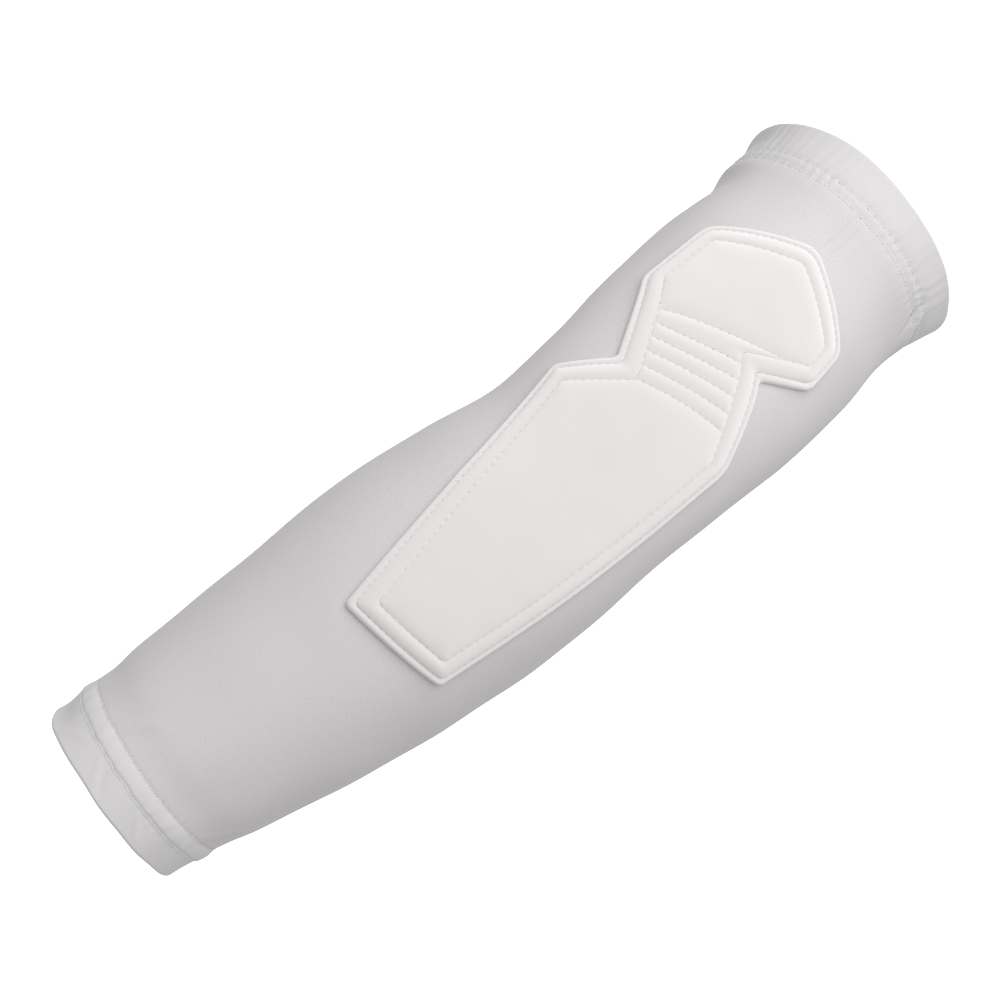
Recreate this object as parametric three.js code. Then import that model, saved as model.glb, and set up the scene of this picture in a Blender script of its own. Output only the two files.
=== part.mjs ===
// Padded scuff sleeve: a stretch-knit arm sleeve in the form it takes on a slightly bent arm,
// with a quilted pad over the elbow and the outer forearm.
// Millimetres. The origin is on the arm's axis at the elbow, +X runs to the upper arm and
// +Z points out through the elbow.
import * as THREE from 'three';

// Driving dimensions
const BEND_RADIUS = 150; // of the arm's axis, where the elbow bends
const FOREARM_DROP = THREE.MathUtils.degToRad(9); // slope of the forearm below +X
const UPPER_ARM_DROP = THREE.MathUtils.degToRad(19); // slope of the upper arm below +X
const SECTION_DEPTH = 0.97; // depth of each section over its width
const CLOTH = 1.2; // one layer of the knit
const GAP = 0.3; // clearance between pieces that are sewn to each other
const SIDES = 36; // facets around the arm

// The outside of the sleeve: a row for each section across the arm.
// along: along the arm's axis from the elbow; side: shift of the section towards +Y
const SECTIONS = [
  { along: -184, width: 67.8, side: 0.6 },
  { along: -172, width: 68.8, side: 0.4 },
  { along: -162, width: 69.6, side: 0 },
  { along: -150, width: 73.4, side: -0.3 },
  { along: -130, width: 78, side: -0.8 },
  { along: -100, width: 84, side: -1 },
  { along: -65, width: 88.5, side: 0 },
  { along: -30, width: 86.5, side: 0 },
  { along: 0, width: 80.5, side: 0.3 },
  { along: 30, width: 82.5, side: 1.4 },
  { along: 60, width: 87, side: 0.5 },
  { along: 90, width: 87, side: 0 },
  { along: 108, width: 83.5, side: 0 },
  { along: 122, width: 85.5, side: -0.2 },
  { along: 130, width: 88.7, side: -0.4 },
  { along: 139.2, width: 91.5, side: -0.4 },
];

// Profiles of the knit walls, closed loops of points. lift: height above the sections' outside
const WRIST_EDGE = -184;
const WRIST_SEAM = -166; // where the turned hem is stitched to the sleeve
const UPPER_SEAM = 123;
const UPPER_EDGE = 139.2;
const HEM = 2 * CLOTH; // a hem is the knit turned in once
const WRIST_HEM_PROFILE = [
  { along: WRIST_SEAM - GAP, lift: 0 },
  { along: WRIST_SEAM - 2.4, lift: 0.7 },
  { along: WRIST_SEAM - 5.4, lift: 0.5 },
  { along: WRIST_SEAM - 6.6, lift: -0.7 },
  { along: WRIST_SEAM - 11, lift: -0.2 },
  { along: WRIST_EDGE + 0.8, lift: 0 },
  { along: WRIST_EDGE, lift: -HEM / 2 },
  { along: WRIST_EDGE + 0.8, lift: -HEM },
  { along: WRIST_SEAM - GAP, lift: -HEM },
];
const UPPER_HEM_PROFILE = [
  { along: UPPER_SEAM + GAP, lift: -HEM },
  { along: UPPER_EDGE - 0.8, lift: -HEM },
  { along: UPPER_EDGE, lift: -HEM / 2 },
  { along: UPPER_EDGE - 0.8, lift: 0 },
  { along: UPPER_SEAM + 8, lift: 0.3 },
  { along: UPPER_SEAM + 3.8, lift: -0.3 },
  { along: UPPER_SEAM + 2, lift: 0.3 },
  { along: UPPER_SEAM + GAP, lift: -0.2 },
];
const BODY_OUTER_STEPS = 30;
const BODY_INNER_STEPS = 18;

// The pad's stitched edge on the sleeve, counter-clockwise seen from outside.
// around: distance round the sleeve from its elbow line, towards +Y; radius: of the rounded corner
const PAD_CORNERS = [
  { corner: 'wrist_left', along: -76, around: 22.3, radius: 3.5 },
  { corner: 'wrist_right', along: -67.5, around: -14, radius: 3.5 },
  { corner: 'flank_right', along: 32, around: -16, radius: 8 },
  { corner: 'notch_right', along: 55, around: 3.3, radius: 2 },
  { corner: 'elbow_low_right', along: 70, around: -13, radius: 6 },
  { corner: 'elbow_side_right', along: 84.5, around: -11.5, radius: 7 },
  { corner: 'elbow_top_right', along: 100, around: 17.5, radius: 8.5 },
  { corner: 'elbow_top_left', along: 83.5, around: 49, radius: 8 },
  { corner: 'elbow_side_left', along: 57, around: 51.5, radius: 8 },
  { corner: 'notch_left', along: 29, around: 32, radius: 2 },
  { corner: 'flank_left', along: 15.5, around: 47.5, radius: 3.5 },
];
const BORDER_WIDTH = 5.5; // between the stitched edge and the stitching round the panels
const LEAST_RADIUS = 2; // of a corner that an inset has used up
const EDGE_SEAM_LIFT = 1.6; // height of the cloth at the pad's stitched edge
const QUILT_SEAM_LIFT = 2.4; // height of the cloth at the stitching round the panels and ribs
const PANEL_LIFT = 4.6; // height of the padded panels
const PANEL_SHOULDER = 4; // distance from its stitching over which a panel rises to that height
const RIB_LIFT = 4.1; // height of the ribs across the neck
const RIB_SHOULDER = 2.3;
const RIB_COUNT = 5;
const RIB_PITCH_LEFT = 4.75; // spacing of the rib stitching along the left side of the neck
const RIB_PITCH_RIGHT = 4.95; // and along its right side
const TOP_RIB_BACK = 4.3; // from the right notch back to the stitching below the top rib
const FIRST_LINE_BOW = 0.4; // how far the lowest rib stitching bows towards the upper arm
const LAST_LINE_BOW = -1.6; // and the highest one, which bows towards the wrist
const CORNER_STEPS = 2;
const ARC_MIDDLE = CORNER_STEPS / 2;
const EDGE_STEP = 7; // facet length along the pad's straight edges
const LEAST_ROW = 0.002; // least step between the rows of a cell, as a share of its length

// Sections of the two rings round the pad, closed loops of points.
// inset: distance inwards from the stitched edge; lift: height above the sleeve's outside
const WELT_SECTION = [
  { inset: -3.2, lift: GAP },
  { inset: -GAP / 2, lift: GAP },
  { inset: -GAP / 2, lift: EDGE_SEAM_LIFT },
  { inset: -0.8, lift: 2.6 },
  { inset: -1.7, lift: 2.5 },
  { inset: -3.2, lift: GAP + 0.3 },
];
const BORDER_SECTION = [
  { inset: GAP / 2, lift: GAP },
  { inset: BORDER_WIDTH - GAP / 2, lift: GAP },
  { inset: BORDER_WIDTH - GAP / 2, lift: QUILT_SEAM_LIFT },
  { inset: BORDER_WIDTH - 1.4, lift: 3.6 },
  { inset: BORDER_WIDTH / 2, lift: 3.9 },
  { inset: 1.2, lift: 3.2 },
  { inset: GAP / 2, lift: EDGE_SEAM_LIFT },
];

const knit = new THREE.MeshStandardMaterial({ color: 0xefeef0, roughness: 0.85, metalness: 0 });
const padCloth = new THREE.MeshStandardMaterial({ color: 0xf4f3f1, roughness: 0.8, metalness: 0 });

// Axis of the arm: a straight forearm and a straight upper arm joined by an arc that is level at the elbow
function axisAt(along) {
  const arcStart = -BEND_RADIUS * FOREARM_DROP;
  const arcEnd = BEND_RADIUS * UPPER_ARM_DROP;
  const onArc = THREE.MathUtils.clamp(along, arcStart, arcEnd);
  const slope = -onArc / BEND_RADIUS;
  const beyond = along - onArc;
  return {
    x: -BEND_RADIUS * Math.sin(slope) + beyond * Math.cos(slope),
    z: -BEND_RADIUS * (1 - Math.cos(slope)) + beyond * Math.sin(slope),
    slope,
  };
}

// Slope of a column of SECTIONS at row i, from the rows on either side
function columnSlope(column, i) {
  const before = SECTIONS[Math.max(i - 1, 0)];
  const after = SECTIONS[Math.min(i + 1, SECTIONS.length - 1)];
  return (after[column] - before[column]) / (after.along - before.along);
}

// A column of SECTIONS at any place along the arm, on a cubic curve through the rows
function sectionValue(column, along) {
  const found = SECTIONS.findIndex((row) => row.along > along);
  const i = found < 0 ? SECTIONS.length - 2 : Math.max(found - 1, 0);
  const low = SECTIONS[i];
  const high = SECTIONS[i + 1];
  const span = high.along - low.along;
  const t = (along - low.along) / span;
  const rise = t * t * (3 - 2 * t);
  const startTangent = columnSlope(column, i) * span * t * (1 - t) * (1 - t);
  const endTangent = columnSlope(column, i + 1) * span * t * t * (t - 1);
  return low[column] * (1 - rise) + high[column] * rise + startTangent + endTangent;
}

// Point at an angle round the arm from its elbow line, raised above the sleeve's outside
function pointAtAngle(along, angle, lift) {
  const { x, z, slope } = axisAt(along);
  const halfWidth = sectionValue('width', along) / 2;
  const outwards = (halfWidth * SECTION_DEPTH + lift) * Math.cos(angle);
  const sideways = sectionValue('side', along) + (halfWidth + lift) * Math.sin(angle);
  return [x - Math.sin(slope) * outwards, sideways, z + Math.cos(slope) * outwards];
}

// Point at a distance round the sleeve from its elbow line, raised above the sleeve's outside
function pointOnSleeve(place, lift) {
  const meanRadius = (sectionValue('width', place.along) * (1 + SECTION_DEPTH)) / 4;
  return pointAtAngle(place.along, place.around / meanRadius, lift);
}

// Closed solid from points and quads of their indices, with its faces turned outwards
function solidFrom(points, quads) {
  const triangles = quads.flatMap(([a, b, c, d]) => [a, b, c, a, c, d]);
  let volume = 0;
  const corners = points.map((p) => new THREE.Vector3(...p));
  for (let i = 0; i < triangles.length; i += 3) {
    const [a, b, c] = [0, 1, 2].map((k) => corners[triangles[i + k]]);
    volume += a.dot(b.clone().cross(c));
  }
  if (volume < 0) triangles.reverse();
  const geometry = new THREE.BufferGeometry();
  geometry.setAttribute('position', new THREE.Float32BufferAttribute(points.flat(), 3));
  geometry.setIndex(triangles);
  geometry.computeVertexNormals();
  return geometry;
}

// Solid whose points lie on closed rings that are themselves joined in a closed loop
function loopedSolid(rings) {
  const count = rings[0].length;
  const quads = [];
  for (let i = 0; i < rings.length; i += 1) {
    const here = i * count;
    const next = ((i + 1) % rings.length) * count;
    for (let j = 0; j < count; j += 1) {
      const k = (j + 1) % count;
      quads.push([here + j, here + k, next + k, next + j]);
    }
  }
  return solidFrom(rings.flat(), quads);
}

// Tubular wall: a closed profile carried round the arm
function wallGeometry(profile) {
  const angles = Array.from({ length: SIDES }, (_, j) => (j / SIDES) * 2 * Math.PI);
  return loopedSolid(profile.map(({ along, lift }) => angles.map((a) => pointAtAngle(along, a, lift))));
}

// The body's profile: its outside from the wrist hem to the upper hem, and its inside back again
function bodyProfile() {
  const start = WRIST_SEAM + GAP / 2;
  const length = UPPER_SEAM - GAP / 2 - start;
  const outer = Array.from({ length: BODY_OUTER_STEPS + 1 }, (_, i) => ({
    along: start + (length * i) / BODY_OUTER_STEPS,
    lift: 0,
  }));
  const inner = Array.from({ length: BODY_INNER_STEPS + 1 }, (_, i) => ({
    along: start + (length * (BODY_INNER_STEPS - i)) / BODY_INNER_STEPS,
    lift: -CLOTH,
  }));
  return [...outer, ...inner];
}

const place = (along, around) => ({ along, around });
const between = (a, b, t) => place(a.along + (b.along - a.along) * t, a.around + (b.around - a.around) * t);
const distance = (a, b) => Math.hypot(b.along - a.along, b.around - a.around);

// Unit direction from one place to another on the flattened sleeve
function directionTo(from, to) {
  const length = distance(from, to);
  return place((to.along - from.along) / length, (to.around - from.around) / length);
}

// Corner i of the pad's edge moved inwards: both its edges shift by the inset
function insetCorner(i, inset) {
  const count = PAD_CORNERS.length;
  const corner = PAD_CORNERS[i];
  const arriving = directionTo(PAD_CORNERS[(i + count - 1) % count], corner);
  const leaving = directionTo(corner, PAD_CORNERS[(i + 1) % count]);
  const turn = arriving.along * leaving.around - arriving.around * leaving.along;
  const straightness = 1 + arriving.along * leaving.along + arriving.around * leaving.around;
  const shift = inset / straightness;
  return {
    along: corner.along - (arriving.around + leaving.around) * shift,
    around: corner.around + (arriving.along + leaving.along) * shift,
    radius: turn > 0 ? Math.max(corner.radius - inset, LEAST_RADIUS) : corner.radius,
    tangent: Math.abs(turn) / straightness,
  };
}

// Points of the rounded corner i at an inset, from the edge that arrives to the edge that leaves
function roundedCorner(i, inset) {
  const count = PAD_CORNERS.length;
  const corner = insetCorner(i, inset);
  const before = insetCorner((i + count - 1) % count, inset);
  const after = insetCorner((i + 1) % count, inset);
  const reach = corner.radius * corner.tangent;
  const start = between(corner, before, reach / distance(corner, before));
  const end = between(corner, after, reach / distance(corner, after));
  return Array.from({ length: CORNER_STEPS + 1 }, (_, k) => {
    const t = k / CORNER_STEPS;
    return between(between(start, corner, t), between(corner, end, t), t);
  });
}

// Closed line round the pad at an inset, with rounded corners. Every inset gives as many points.
function padLine(inset) {
  const arcs = PAD_CORNERS.map((_, i) => roundedCorner(i, inset));
  return arcs.flatMap((arc, i) => {
    const next = (i + 1) % arcs.length;
    const steps = Math.max(2, Math.round(distance(PAD_CORNERS[i], PAD_CORNERS[next]) / EDGE_STEP));
    const from = arc[CORNER_STEPS];
    const to = arcs[next][0];
    const straight = Array.from({ length: steps - 1 }, (_, k) => between(from, to, (k + 1) / steps));
    return [...arc, ...straight];
  });
}

// Ring round the pad: a closed section carried along the pad's edge
function ringGeometry(section) {
  return loopedSolid(
    section.map(({ inset, lift }) => padLine(inset).map((spot) => pointOnSleeve(spot, lift))),
  );
}

// Rounded corners of the stitching round the panels, by name
const innerArcs = Object.fromEntries(
  PAD_CORNERS.map(({ corner }, i) => [corner, roundedCorner(i, BORDER_WIDTH)]),
);

// Stitching across the neck, from the forearm panel up: both ends of each line and how far it bows
function ribLines() {
  const indexOf = (name) => PAD_CORNERS.findIndex((row) => row.corner === name);
  const cornerNamed = (name) => insetCorner(indexOf(name), BORDER_WIDTH);
  const leftNotch = cornerNamed('notch_left');
  const leftWay = directionTo(leftNotch, cornerNamed('elbow_side_left'));
  const rightNotch = cornerNamed('notch_right');
  const rightWay = directionTo(rightNotch, cornerNamed('flank_right'));
  const lines = Array.from({ length: RIB_COUNT + 1 }, (_, k) => {
    const up = RIB_PITCH_LEFT * k;
    const back = TOP_RIB_BACK + RIB_PITCH_RIGHT * (RIB_COUNT - 1 - k);
    return {
      left: place(leftNotch.along + leftWay.along * up, leftNotch.around + leftWay.around * up),
      right: place(rightNotch.along + rightWay.along * back, rightNotch.around + rightWay.around * back),
      bow: THREE.MathUtils.lerp(FIRST_LINE_BOW, LAST_LINE_BOW, k / RIB_COUNT),
    };
  });
  lines[0].left = innerArcs.notch_left[ARC_MIDDLE];
  lines[RIB_COUNT].right = innerArcs.elbow_low_right[ARC_MIDDLE];
  return lines;
}

// Length of a chain of places up to each of them
function chainLengths(chain) {
  const lengths = [0];
  chain.slice(1).forEach((spot, i) => lengths.push(lengths[i] + distance(chain[i], spot)));
  return lengths;
}

// Point at a share of the length of a chain, with its ends pulled in by half a gap
function alongChain(chain, share) {
  const lengths = chainLengths(chain);
  const whole = lengths[chain.length - 1];
  const run = THREE.MathUtils.clamp(share * whole, GAP / 2, whole - GAP / 2);
  const found = lengths.findIndex((length) => length > run);
  const i = found < 0 ? chain.length - 1 : found;
  return between(chain[i - 1], chain[i], (run - lengths[i - 1]) / (lengths[i] - lengths[i - 1]));
}

// Shares of the rows of a cell: even steps, and the corners of both its chains
function rowShares({ left, right, steps }) {
  const even = Array.from({ length: steps + 1 }, (_, i) => i / steps);
  const corners = [left, right].flatMap((chain) => {
    const lengths = chainLengths(chain);
    return lengths.slice(1, -1).map((length) => length / lengths[chain.length - 1]);
  });
  const shares = [...even, ...corners].sort((a, b) => a - b);
  return shares.filter((share, i) => i === 0 || share - shares[i - 1] > LEAST_ROW);
}

// Distance from a place to the nearest edge of a polygon
function edgeDistance(spot, polygon) {
  const distances = polygon.map((a, i) => {
    const b = polygon[(i + 1) % polygon.length];
    const way = directionTo(a, b);
    const run = (spot.along - a.along) * way.along + (spot.around - a.around) * way.around;
    return distance(spot, between(a, b, THREE.MathUtils.clamp(run / distance(a, b), 0, 1)));
  });
  return Math.min(...distances);
}

// Row of places across a cell from its left chain to its right chain, bowed along the arm
function cellRow(cell, share) {
  const from = alongChain(cell.left, share);
  const to = alongChain(cell.right, share);
  const trim = GAP / 2 / distance(from, to);
  const bow = THREE.MathUtils.lerp(cell.lowBow, cell.highBow, share);
  return Array.from({ length: cell.columns + 1 }, (_, j) => {
    const t = j / cell.columns;
    const spot = between(from, to, trim + (1 - 2 * trim) * t);
    return place(spot.along + bow * 4 * t * (1 - t), spot.around);
  });
}

// Padded cell between a left and a right chain: flat below, and crowned above within its stitching
function cellGeometry(cell) {
  const { columns, crown, shoulder } = cell;
  const rows = rowShares(cell).map((share) => cellRow(cell, share));
  const steps = rows.length - 1;
  const leftSide = rows.map((row) => row[0]).reverse();
  const rightSide = rows.map((row) => row[columns]);
  const polygon = [
    ...rows[0].slice(0, -1),
    ...rightSide.slice(0, -1),
    ...[...rows[steps]].reverse().slice(0, -1),
    ...leftSide.slice(0, -1),
  ];
  const lower = rows.flat().map((spot) => pointOnSleeve(spot, GAP));
  const upper = rows.flat().map((spot) => {
    const short = 1 - Math.min(edgeDistance(spot, polygon) / shoulder, 1);
    return pointOnSleeve(spot, QUILT_SEAM_LIFT + (crown - QUILT_SEAM_LIFT) * Math.sqrt(1 - short * short));
  });
  const count = columns + 1;
  const quads = [];
  for (let i = 0; i < steps; i += 1) {
    for (let j = 0; j < columns; j += 1) {
      const quad = [i * count + j, i * count + j + 1, (i + 1) * count + j + 1, (i + 1) * count + j];
      quads.push([...quad].reverse(), quad.map((k) => k + lower.length));
    }
  }
  const rim = [
    ...Array.from({ length: columns }, (_, j) => j),
    ...Array.from({ length: steps }, (_, i) => i * count + columns),
    ...Array.from({ length: columns }, (_, j) => steps * count + columns - j),
    ...Array.from({ length: steps }, (_, i) => (steps - i) * count),
  ];
  rim.forEach((a, i) => {
    const b = rim[(i + 1) % rim.length];
    quads.push([a, b, b + lower.length, a + lower.length]);
  });
  return solidFrom([...lower, ...upper], quads);
}

// The padded panels and ribs, each between a left and a right chain that run up the arm
function padCells() {
  const lines = ribLines();
  const [first, last] = [lines[0], lines[RIB_COUNT]];
  const backwards = (arc) => [...arc].reverse();
  const panel = { columns: 10, crown: PANEL_LIFT, shoulder: PANEL_SHOULDER };
  const cells = {
    forearm_panel: {
      ...panel,
      left: [
        ...backwards(innerArcs.wrist_left),
        ...backwards(innerArcs.flank_left),
        ...backwards(innerArcs.notch_left).slice(0, ARC_MIDDLE + 1),
      ],
      right: [...innerArcs.wrist_right, ...innerArcs.flank_right, first.right],
      steps: 12,
      lowBow: 0,
      highBow: first.bow,
    },
    elbow_panel: {
      ...panel,
      left: [last.left, ...backwards(innerArcs.elbow_side_left), ...backwards(innerArcs.elbow_top_left)],
      right: [
        ...innerArcs.elbow_low_right.slice(ARC_MIDDLE),
        ...innerArcs.elbow_side_right,
        ...innerArcs.elbow_top_right,
      ],
      steps: 8,
      lowBow: last.bow,
      highBow: 0,
    },
  };
  for (let k = 0; k < RIB_COUNT; k += 1) {
    const [low, high] = [lines[k], lines[k + 1]];
    cells[`neck_rib_${k + 1}`] = {
      left: [low.left, high.left],
      right: [low.right, high.right],
      steps: 4,
      columns: 8,
      crown: RIB_LIFT,
      shoulder: RIB_SHOULDER,
      lowBow: low.bow,
      highBow: high.bow,
    };
  }
  const bottomRib = cells.neck_rib_1;
  bottomRib.left = [...backwards(innerArcs.notch_left.slice(0, ARC_MIDDLE + 1)), lines[1].left];
  const topRib = cells[`neck_rib_${RIB_COUNT}`];
  topRib.right = [
    lines[RIB_COUNT - 1].right,
    ...innerArcs.notch_right,
    ...innerArcs.elbow_low_right.slice(0, ARC_MIDDLE + 1),
  ];
  return cells;
}

function addPiece(name, geometry, material) {
  const mesh = new THREE.Mesh(geometry, material);
  mesh.name = name;
  sleeve.add(mesh);
}

const sleeve = new THREE.Group();
addPiece('sleeve_body', wallGeometry(bodyProfile()), knit);
addPiece('wrist_hem', wallGeometry(WRIST_HEM_PROFILE), knit);
addPiece('upper_hem', wallGeometry(UPPER_HEM_PROFILE), knit);
addPiece('pad_welt', ringGeometry(WELT_SECTION), knit);
addPiece('pad_border', ringGeometry(BORDER_SECTION), padCloth);
for (const [name, cell] of Object.entries(padCells())) addPiece(name, cellGeometry(cell), padCloth);

export default sleeve;
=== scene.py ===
"""The padded scuff sleeve as it looks: stretch knit, turned hems and a quilted pad.

Lengths in this script are millimetres, and become metres where a mesh is made. A place on the sleeve is
given by along (on the arm's axis, towards the upper arm), around (round the cloth from the line over the
point of the elbow, towards +Y) and lift (outwards from the knit's outer face).
"""

import bpy
import numpy as np
from mathutils import Matrix


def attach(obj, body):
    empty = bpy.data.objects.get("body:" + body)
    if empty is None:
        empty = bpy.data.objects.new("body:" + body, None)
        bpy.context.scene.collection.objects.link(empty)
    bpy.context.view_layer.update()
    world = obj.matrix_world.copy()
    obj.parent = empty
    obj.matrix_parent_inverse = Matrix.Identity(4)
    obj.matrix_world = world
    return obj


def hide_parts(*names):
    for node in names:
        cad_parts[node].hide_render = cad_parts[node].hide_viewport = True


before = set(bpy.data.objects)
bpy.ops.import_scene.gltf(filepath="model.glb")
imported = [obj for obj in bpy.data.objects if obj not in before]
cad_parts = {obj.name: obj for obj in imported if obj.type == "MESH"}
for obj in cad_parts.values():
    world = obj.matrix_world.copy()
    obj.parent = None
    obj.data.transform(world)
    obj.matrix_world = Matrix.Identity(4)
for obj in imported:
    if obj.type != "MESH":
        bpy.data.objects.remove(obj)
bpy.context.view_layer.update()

MM = 0.001

# The arm's line and girth
BEND_RADIUS = 150.0
FOREARM_DROP = np.radians(9.0)
UPPER_ARM_DROP = np.radians(19.0)
SECTION_DEPTH = 0.97
CLOTH = 1.2
# The arm's mean radius, by which an angle becomes the cloth's own round coordinate
MEAN_RADIUS = 41.0
# The cloth's length round the arm at its fullest, for waves that close on themselves
LENGTH_ROUND = 270.0
# along, width, shift of the middle towards +Y
SECTIONS = np.array([
    (-184.0, 67.8, 0.6),
    (-172.0, 68.8, 0.4),
    (-162.0, 69.6, 0.0),
    (-150.0, 73.4, -0.3),
    (-130.0, 78.0, -0.8),
    (-100.0, 84.0, -1.0),
    (-65.0, 88.5, 0.0),
    (-30.0, 86.5, 0.0),
    (0.0, 80.5, 0.3),
    (30.0, 82.5, 1.4),
    (60.0, 87.0, 0.5),
    (90.0, 87.0, 0.0),
    (108.0, 83.5, 0.0),
    (122.0, 85.5, -0.2),
    (130.0, 88.7, -0.4),
    (139.2, 91.5, -0.4),
])

# The hems
WRIST_EDGE = -184.0
WRIST_STEP = -172.6
WRIST_SEAM = -166.0
UPPER_SEAM = 123.0
UPPER_SECOND_ROW = 126.8
UPPER_EDGE = 139.2
HEM = 2.4
# How much prouder the wrist seam's thread lies than the other hem threads
WRIST_SEAM_PROUD = 0.08
# How far from the step's line its thread lies, towards the edge
STEP_THREAD_BACK = 0.3
# How far beside its seam a hem still bends to meet the knit
UPPER_MEETING = 1.6
WRIST_MEETING = 1.2

# The pad's corners, anticlockwise seen from outside: along, around, radius
PAD_CORNERS = {
    "wrist_left": (-76.0, 22.3, 2.2),
    "wrist_right": (-67.5, -14.0, 2.6),
    "flank_right": (32.0, -16.0, 8.0),
    "notch_right": (55.0, 3.3, 2.0),
    "elbow_low_right": (70.0, -13.0, 6.0),
    "elbow_side_right": (84.5, -11.5, 7.0),
    "elbow_top_right": (100.0, 17.5, 8.5),
    "elbow_top_left": (83.5, 49.0, 8.0),
    "elbow_side_left": (57.0, 51.5, 8.0),
    "notch_left": (29.0, 32.0, 2.0),
    "flank_left": (15.5, 47.5, 3.5),
}
LEAST_RADIUS = 2.0
BORDER_WIDTH = 5.5
EDGE_SEAM_LIFT = 2.0
QUILT_SEAM_LIFT = 2.95
BORDER_LIFT = 3.5
BORDER_CREST = 0.32
PANEL_LIFT = 4.05
PANEL_SHOULDER = 2.2
PANEL_CROWN = 0.45
RIB_LIFT = 4.1
RIB_SHOULDER = 1.9
RIB_COUNT = 5
RIB_PITCH_LEFT = 4.75
RIB_PITCH_RIGHT = 4.95
TOP_RIB_BACK = 4.3
FIRST_LINE_BOW = 0.4
LAST_LINE_BOW = -1.2
# Where the last stitch line meets the border, as a share of the edge from the notch to the next corner
LAST_LINE_MEETS = 0.62
WELT_WIDTH = 2.8
WELT_LIFT = 2.3
WELT_CREST = 0.35
WELT_FOOT = 0.1
WELT_UNDERSIDE = 0.03
PAD_UNDERSIDE = 0.1
# A lift above this is on the pad's upper face, which the stitches pull down
UPPER_FACE = 0.5
SEAM_CLEAR = 0.03
# How far from its seam a panel goes on swelling
SWELL_REACH = 9.0
# Slow unevenness of the cushions: size of its waves, and height
CUSHION_WAVE = 14.0
CUSHION_WAVE_HEIGHT = 0.06

# The stitches: length of one stitch, and the thread
EDGE_STITCH = 2.6
QUILT_STITCH = 2.9
RIB_STITCH = 2.7
UPPER_HEM_STITCH = 1.6
WRIST_HEM_STITCH = 1.5
THREAD = 0.28
THREAD_DIP = 0.1
THREAD_ARCH = 0.18
# The thread's width at a needle hole, as a share of its width between two
THREAD_TAPER = 0.7
# How far a stitch reaches into the holes at its ends, as a share of its length
STITCH_OVERLAP = 0.03
# How deep the thread of the pad's seams lies in its groove
PAD_THREAD_SUNK = 0.16
# How a stitch pulls the padding down: depth and half width of each bell
STITCH_PULLS = ((0.06, 0.45), (0.05, 1.3))
# Half width of the shade round a needle hole
HOLE_SHADE = 0.38

# Folds in the knit: along and around of both ends, half width, height (a valley where it is negative)
FOLDS = (
    (98.0, 15.2, 128.0, 15.5, 1.0, -0.42),
    (98.0, 17.4, 128.0, 17.7, 1.4, 0.3),
    (101.0, 11.8, 128.0, 12.2, 1.1, -0.28),
    (101.0, 13.6, 128.0, 13.9, 1.0, 0.2),
    (128.0, -24.5, 114.5, -34.5, 1.3, -0.75),
    (127.5, -28.0, 115.5, -45.0, 1.8, 0.95),
    (127.0, -31.0, 119.0, -52.0, 1.2, -0.65),
    (-166.0, -20.0, -148.0, -34.0, 2.2, 0.25),
    (-166.0, 30.0, -150.0, 22.0, 2.4, 0.22),
    (-183.0, -8.0, -174.0, 2.0, 1.4, 0.2),
    (-183.0, 13.0, -174.5, 20.0, 1.5, -0.2),
    (-182.0, 17.0, -174.0, 24.0, 1.3, 0.18),
    (-182.0, 42.0, -175.0, 33.0, 1.5, 0.2),
    (-6.0, 88.0, 2.0, 124.0, 3.0, -0.6),
    (8.0, 86.0, 12.0, 122.0, 3.4, 0.5),
    (22.0, 90.0, 20.0, 122.0, 3.0, -0.5),
    (-4.0, -86.0, 4.0, -124.0, 3.0, -0.5),
    (10.0, -88.0, 12.0, -122.0, 3.4, 0.4),
)

# Swells and hollows beside the hems: place along, half length, angle round the arm, half angle, height
ALL_ROUND = (0.0, np.inf)
KNIT_SWELLS = (
    (UPPER_SEAM - 11.0, 5.5, 1.77, 0.35, -1.2),
    (UPPER_SEAM - 3.5, 2.6, *ALL_ROUND, 0.15),
    (UPPER_SEAM - 3.5, 2.6, 1.8, 0.4, 0.45),
    (UPPER_SEAM - 3.5, 2.6, -1.4, 0.4, 0.3),
    (UPPER_SEAM, 5.0, -1.25, 0.25, -0.5),
    (UPPER_SEAM, 0.9, *ALL_ROUND, -0.16),
    (UPPER_SEAM, 0.9, 1.8, 0.4, -0.2),
    (WRIST_SEAM, 0.8, *ALL_ROUND, -0.14),
    (WRIST_SEAM + 3.5, 3.0, *ALL_ROUND, 0.06),
    (WRIST_SEAM + 8.0, 7.0, 1.85, 0.4, -0.5),
)
UPPER_HEM_SWELLS = (
    (UPPER_SEAM + 1.9, 1.2, *ALL_ROUND, 0.14),
    (UPPER_SECOND_ROW, 0.7, *ALL_ROUND, -0.14),
    (UPPER_SECOND_ROW + 3.5, 3.0, *ALL_ROUND, 0.1),
    (UPPER_EDGE - 6.5, 6.0, 1.85, 0.45, -2.2),
)
WRIST_HEM_SWELLS = (
    (WRIST_STEP - 6.5, 4.0, 1.65, 0.35, -1.4),
    (WRIST_STEP - 6.5, 4.0, -1.45, 0.3, -0.5),
)
# Bulges at one side of the arm: height, angle, half angle
UPPER_FLARE = (1.3, -1.2, 0.3)
UPPER_REACH = (1.2, 0.82, 0.5)
WRIST_REACH = (-1.7, 1.4, 0.5)
PUFF_BULGES = ((-0.15, 1.75, 0.4), (0.4, -1.35, 0.35))
# The wrist band's mean height over the cloth, and the plain end's depth under it
PUFF = 0.42
PLAIN_END = 0.15
STEP_PINCH = 0.09

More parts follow.
